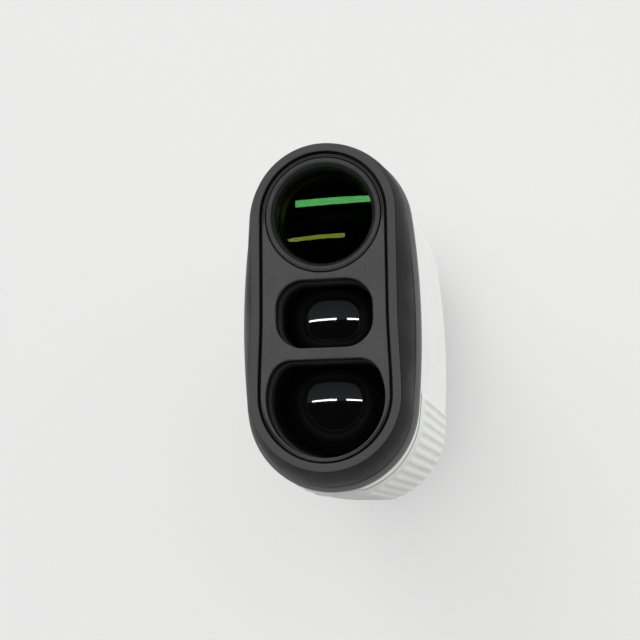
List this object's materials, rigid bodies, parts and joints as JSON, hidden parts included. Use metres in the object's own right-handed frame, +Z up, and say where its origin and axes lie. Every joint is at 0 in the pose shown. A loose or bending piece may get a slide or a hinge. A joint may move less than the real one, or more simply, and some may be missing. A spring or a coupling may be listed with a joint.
{
  "type": "laser rangefinder",
  "caption": "Upright handheld laser rangefinder with a flared front bezel, round objective over two windows, white shells and a rear eyepiece.",
  "frame": {"origin": "middle of the footprint at the height of the flat belly that it stands on", "axes": "+X to the right seen from the front, +Y back along the line of sight to the eyepiece, +Z up"},
  "size_m": [0.0396, 0.1, 0.0776],
  "materials": {
    "bezel": "fine matte texture",
    "panel": "smooth matte",
    "ring": "satin",
    "black_inner": "flat black against stray light",
    "coated_glass": "polished, green anti-reflection coating",
    "dark_glass": "polished, passes infrared only",
    "eye_glass": "polished, blue anti-reflection coating",
    "prism_glass": "polished",
    "display": "polished",
    "brass_can": "satin",
    "steel_can": "satin",
    "board": "satin",
    "chips": "matte",
    "chassis": "matte",
    "white_shell": "satin gloss",
    "screw_steel": "satin",
    "rubber": "matte",
    "control": "matte",
    "cell_metal": "satin sleeve",
    "spring_steel": "bright",
    "door": "fine matte texture",
    "contact_brass": "bright",
    "pad": "matte",
    "button": "matte",
    "dome_steel": "bright",
    "grip_rubber": "matte"
  },
  "bodies": {
    "housing": {"front_bezel": "bezel", "front_panel": "panel", "objective_ring": "ring", "objective_tube": "black_inner", "objective_lens": "coated_glass", "objective_rear_lens": "coated_glass", "emitter_hood": "black_inner", "emitter_lens": "dark_glass", "laser_diode": "brass_can", "emitter_board": "board", "receiver_hood": "black_inner", "receiver_lens": "dark_glass", "detector": "steel_can", "receiver_board": "board", "optical_chassis": "chassis", "prism_cage": "chassis", "prism_front": "prism_glass", "prism_roof": "prism_glass", "display_panel": "display", "right_shell": "white_shell", "left_shell": "white_shell", "rear_cover": "bezel", "rear_screws": "screw_steel", "housing_screws": "screw_steel", "eyepiece_tube": "black_inner", "eyepiece_seal": "rubber", "battery": "cell_metal", "battery_sleeve": "chassis", "battery_spring": "spring_steel", "hinge_pin": "screw_steel", "top_pad": "pad", "button_board": "board", "button_domes": "dome_steel", "switch_plate": "pad", "main_board": "board", "board_parts": "chips", "vibration_motor": "steel_can", "grip_pad": "grip_rubber"},
    "power_button_body": {"power_button": "button"},
    "mode_button_body": {"mode_button": "button"},
    "dioptre_body": {"dioptre_ring": "control"},
    "ocular": {"ocular_cell": "black_inner", "field_lens": "eye_glass", "eye_lens": "eye_glass"},
    "eyecup_body": {"eyecup": "rubber"},
    "door": {"battery_door": "door", "door_contact": "contact_brass", "door_seal": "rubber"},
    "slope_body": {"slope_switch": "control"}
  },
  "joints": [
    {"name": "power_press", "type": "slide", "parent": "housing", "child": "power_button_body", "axis": [0, 0, -1], "range_m": [0, 0.0008], "stiffness_N_per_m": 3000},
    {"name": "mode_press", "type": "slide", "parent": "housing", "child": "mode_button_body", "axis": [0, 0, -1], "range_m": [0, 0.0008], "stiffness_N_per_m": 2500},
    {"name": "dioptre_turn", "type": "hinge", "parent": "housing", "child": "dioptre_body", "pos_m": [0, 0.041, 0.0598], "axis": [0, 1, 0], "range_deg": [-90, 90]},
    {"name": "ocular_focus", "type": "slide", "parent": "housing", "child": "ocular", "axis": [0, 1, 0], "range_m": [-0.0012, 0.0012]},
    {"name": "eyecup_slide", "type": "slide", "parent": "housing", "child": "eyecup_body", "axis": [0, 1, 0], "range_m": [0, 0.004]},
    {"name": "door_swing", "type": "hinge", "parent": "housing", "child": "door", "pos_m": [-0.0119, 0.0413, 0.0184], "axis": [0, 0, 1], "range_deg": [0, 110]},
    {"name": "slope_slide", "type": "slide", "parent": "housing", "child": "slope_body", "axis": [0, 1, 0], "range_m": [-0.002, 0.002]}
  ],
  "couplings": [
    {"joint": "dioptre_turn", "follows": "ocular_focus", "rad_per_m": 1308.9}
  ]
}
